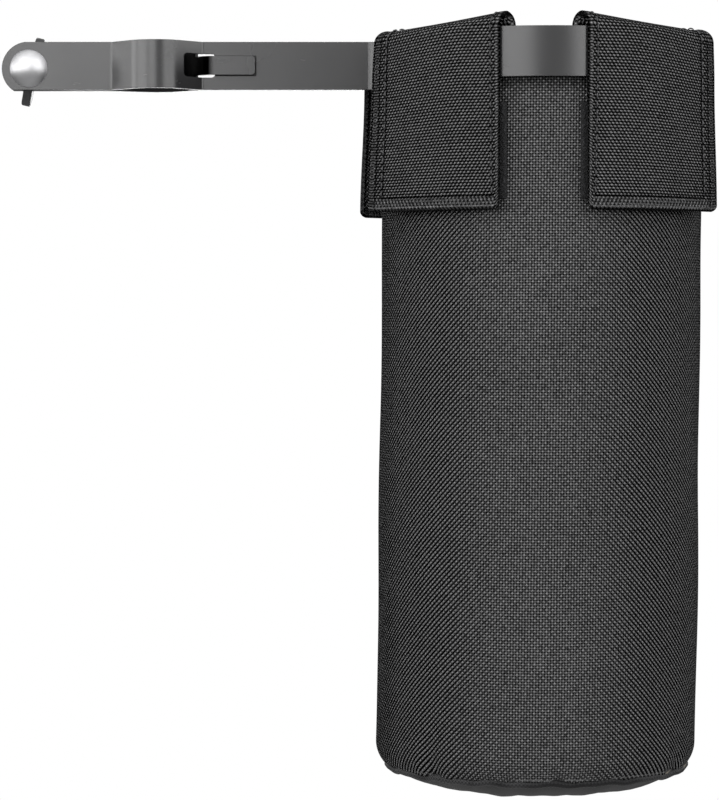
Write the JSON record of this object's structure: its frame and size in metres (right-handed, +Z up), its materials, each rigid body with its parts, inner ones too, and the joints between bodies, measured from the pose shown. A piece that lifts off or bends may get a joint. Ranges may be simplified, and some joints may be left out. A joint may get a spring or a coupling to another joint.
{
  "type": "drumstick holder",
  "caption": "Padded cloth tube that hangs from a flat-bar ring by fold-over flaps, on an arm that clamps to an upright stand tube with a bolt and wing nut.",
  "frame": {"origin": "on the axis of the clamped stand tube, at mid-height of the flat bar", "axes": "+X along the arm to the bag, -Y the front with the bolt's head, +Z up along the stand tube"},
  "size_m": [0.2364, 0.1116, 0.2537],
  "materials": {
    "coated_steel": "satin dark grey baked coating on 2 mm flat bar",
    "zinc_steel": "bright zinc plate",
    "black_nut": "black coated casting",
    "woven_nylon": "coarse plain-woven nylon with a visible yarn grid",
    "foam": "closed-cell foam sheet",
    "lining_cloth": "fine plain lining cloth",
    "binding_tape": "ribbed woven tape",
    "base_cloth": "smooth coated cloth",
    "fibre_board": "plain stiff board",
    "hook_tape": "hook tape",
    "loop_tape": "loop tape"
  },
  "bodies": {
    "root": {"ring_arm": "coated_steel", "carriage_bolt": "zinc_steel", "bag_shell": "woven_nylon", "foam_pad": "foam", "lining": "lining_cloth", "rim_binding": "binding_tape", "back_seam_tape": "binding_tape", "bottom_panel": "base_cloth", "bottom_piping": "binding_tape", "base_board": "fibre_board", "fold_front_left": "woven_nylon", "fold_front_right": "woven_nylon", "fold_back_left": "woven_nylon", "fold_back_right": "woven_nylon", "loop_front_left": "loop_tape", "loop_front_right": "loop_tape", "loop_back_left": "loop_tape", "loop_back_right": "loop_tape"},
    "washer": {"flat_washer": "zinc_steel"},
    "wing_nut": {"wing_nut": "black_nut"},
    "jaw": {"clamp_jaw": "coated_steel"},
    "flap_front_left": {"flap_front_left": "woven_nylon", "hook_front_left": "hook_tape"},
    "flap_front_right": {"flap_front_right": "woven_nylon", "hook_front_right": "hook_tape"},
    "flap_back_left": {"flap_back_left": "woven_nylon", "hook_back_left": "hook_tape"},
    "flap_back_right": {"flap_back_right": "woven_nylon", "hook_back_right": "hook_tape"}
  },
  "joints": [
    {"name": "nut_spin", "type": "hinge", "parent": "washer", "child": "wing_nut", "pos_m": [-0.0429, 0.0068, -0.0009], "axis": [0, 1, 0], "range_deg": [0, 5040]},
    {"name": "nut_travel", "type": "slide", "parent": "root", "child": "washer", "axis": [0, 1, 0], "range_m": [0, 0.01121]},
    {"name": "jaw_swing", "type": "hinge", "parent": "root", "child": "jaw", "pos_m": [0.01485, 0, 0], "axis": [0, 0, -1], "range_deg": [0, 9.9]},
    {"name": "lift_front_left", "type": "hinge", "parent": "root", "child": "flap_front_left", "pos_m": [0.08992, -0.04793, 0.00785], "axis": [-0.822, 0.5694, 0], "range_deg": [0, 150]},
    {"name": "lift_front_right", "type": "hinge", "parent": "root", "child": "flap_front_right", "pos_m": [0.16328, -0.05178, 0.00785], "axis": [-0.8771, -0.4804, 0], "range_deg": [0, 150]},
    {"name": "lift_back_left", "type": "hinge", "parent": "root", "child": "flap_back_left", "pos_m": [0.08695, 0.0371, 0.00785], "axis": [0.7803, 0.6254, 0], "range_deg": [0, 150]},
    {"name": "lift_back_right", "type": "hinge", "parent": "root", "child": "flap_back_right", "pos_m": [0.16709, 0.03881, 0.00785], "axis": [0.7471, -0.6647, 0], "range_deg": [0, 150]}
  ],
  "couplings": [
    {"joint": "nut_travel", "follows": "nut_spin", "m_per_rad": 0.00012732},
    {"joint": "jaw_swing", "follows": "nut_spin", "ratio": 0.0019588}
  ]
}
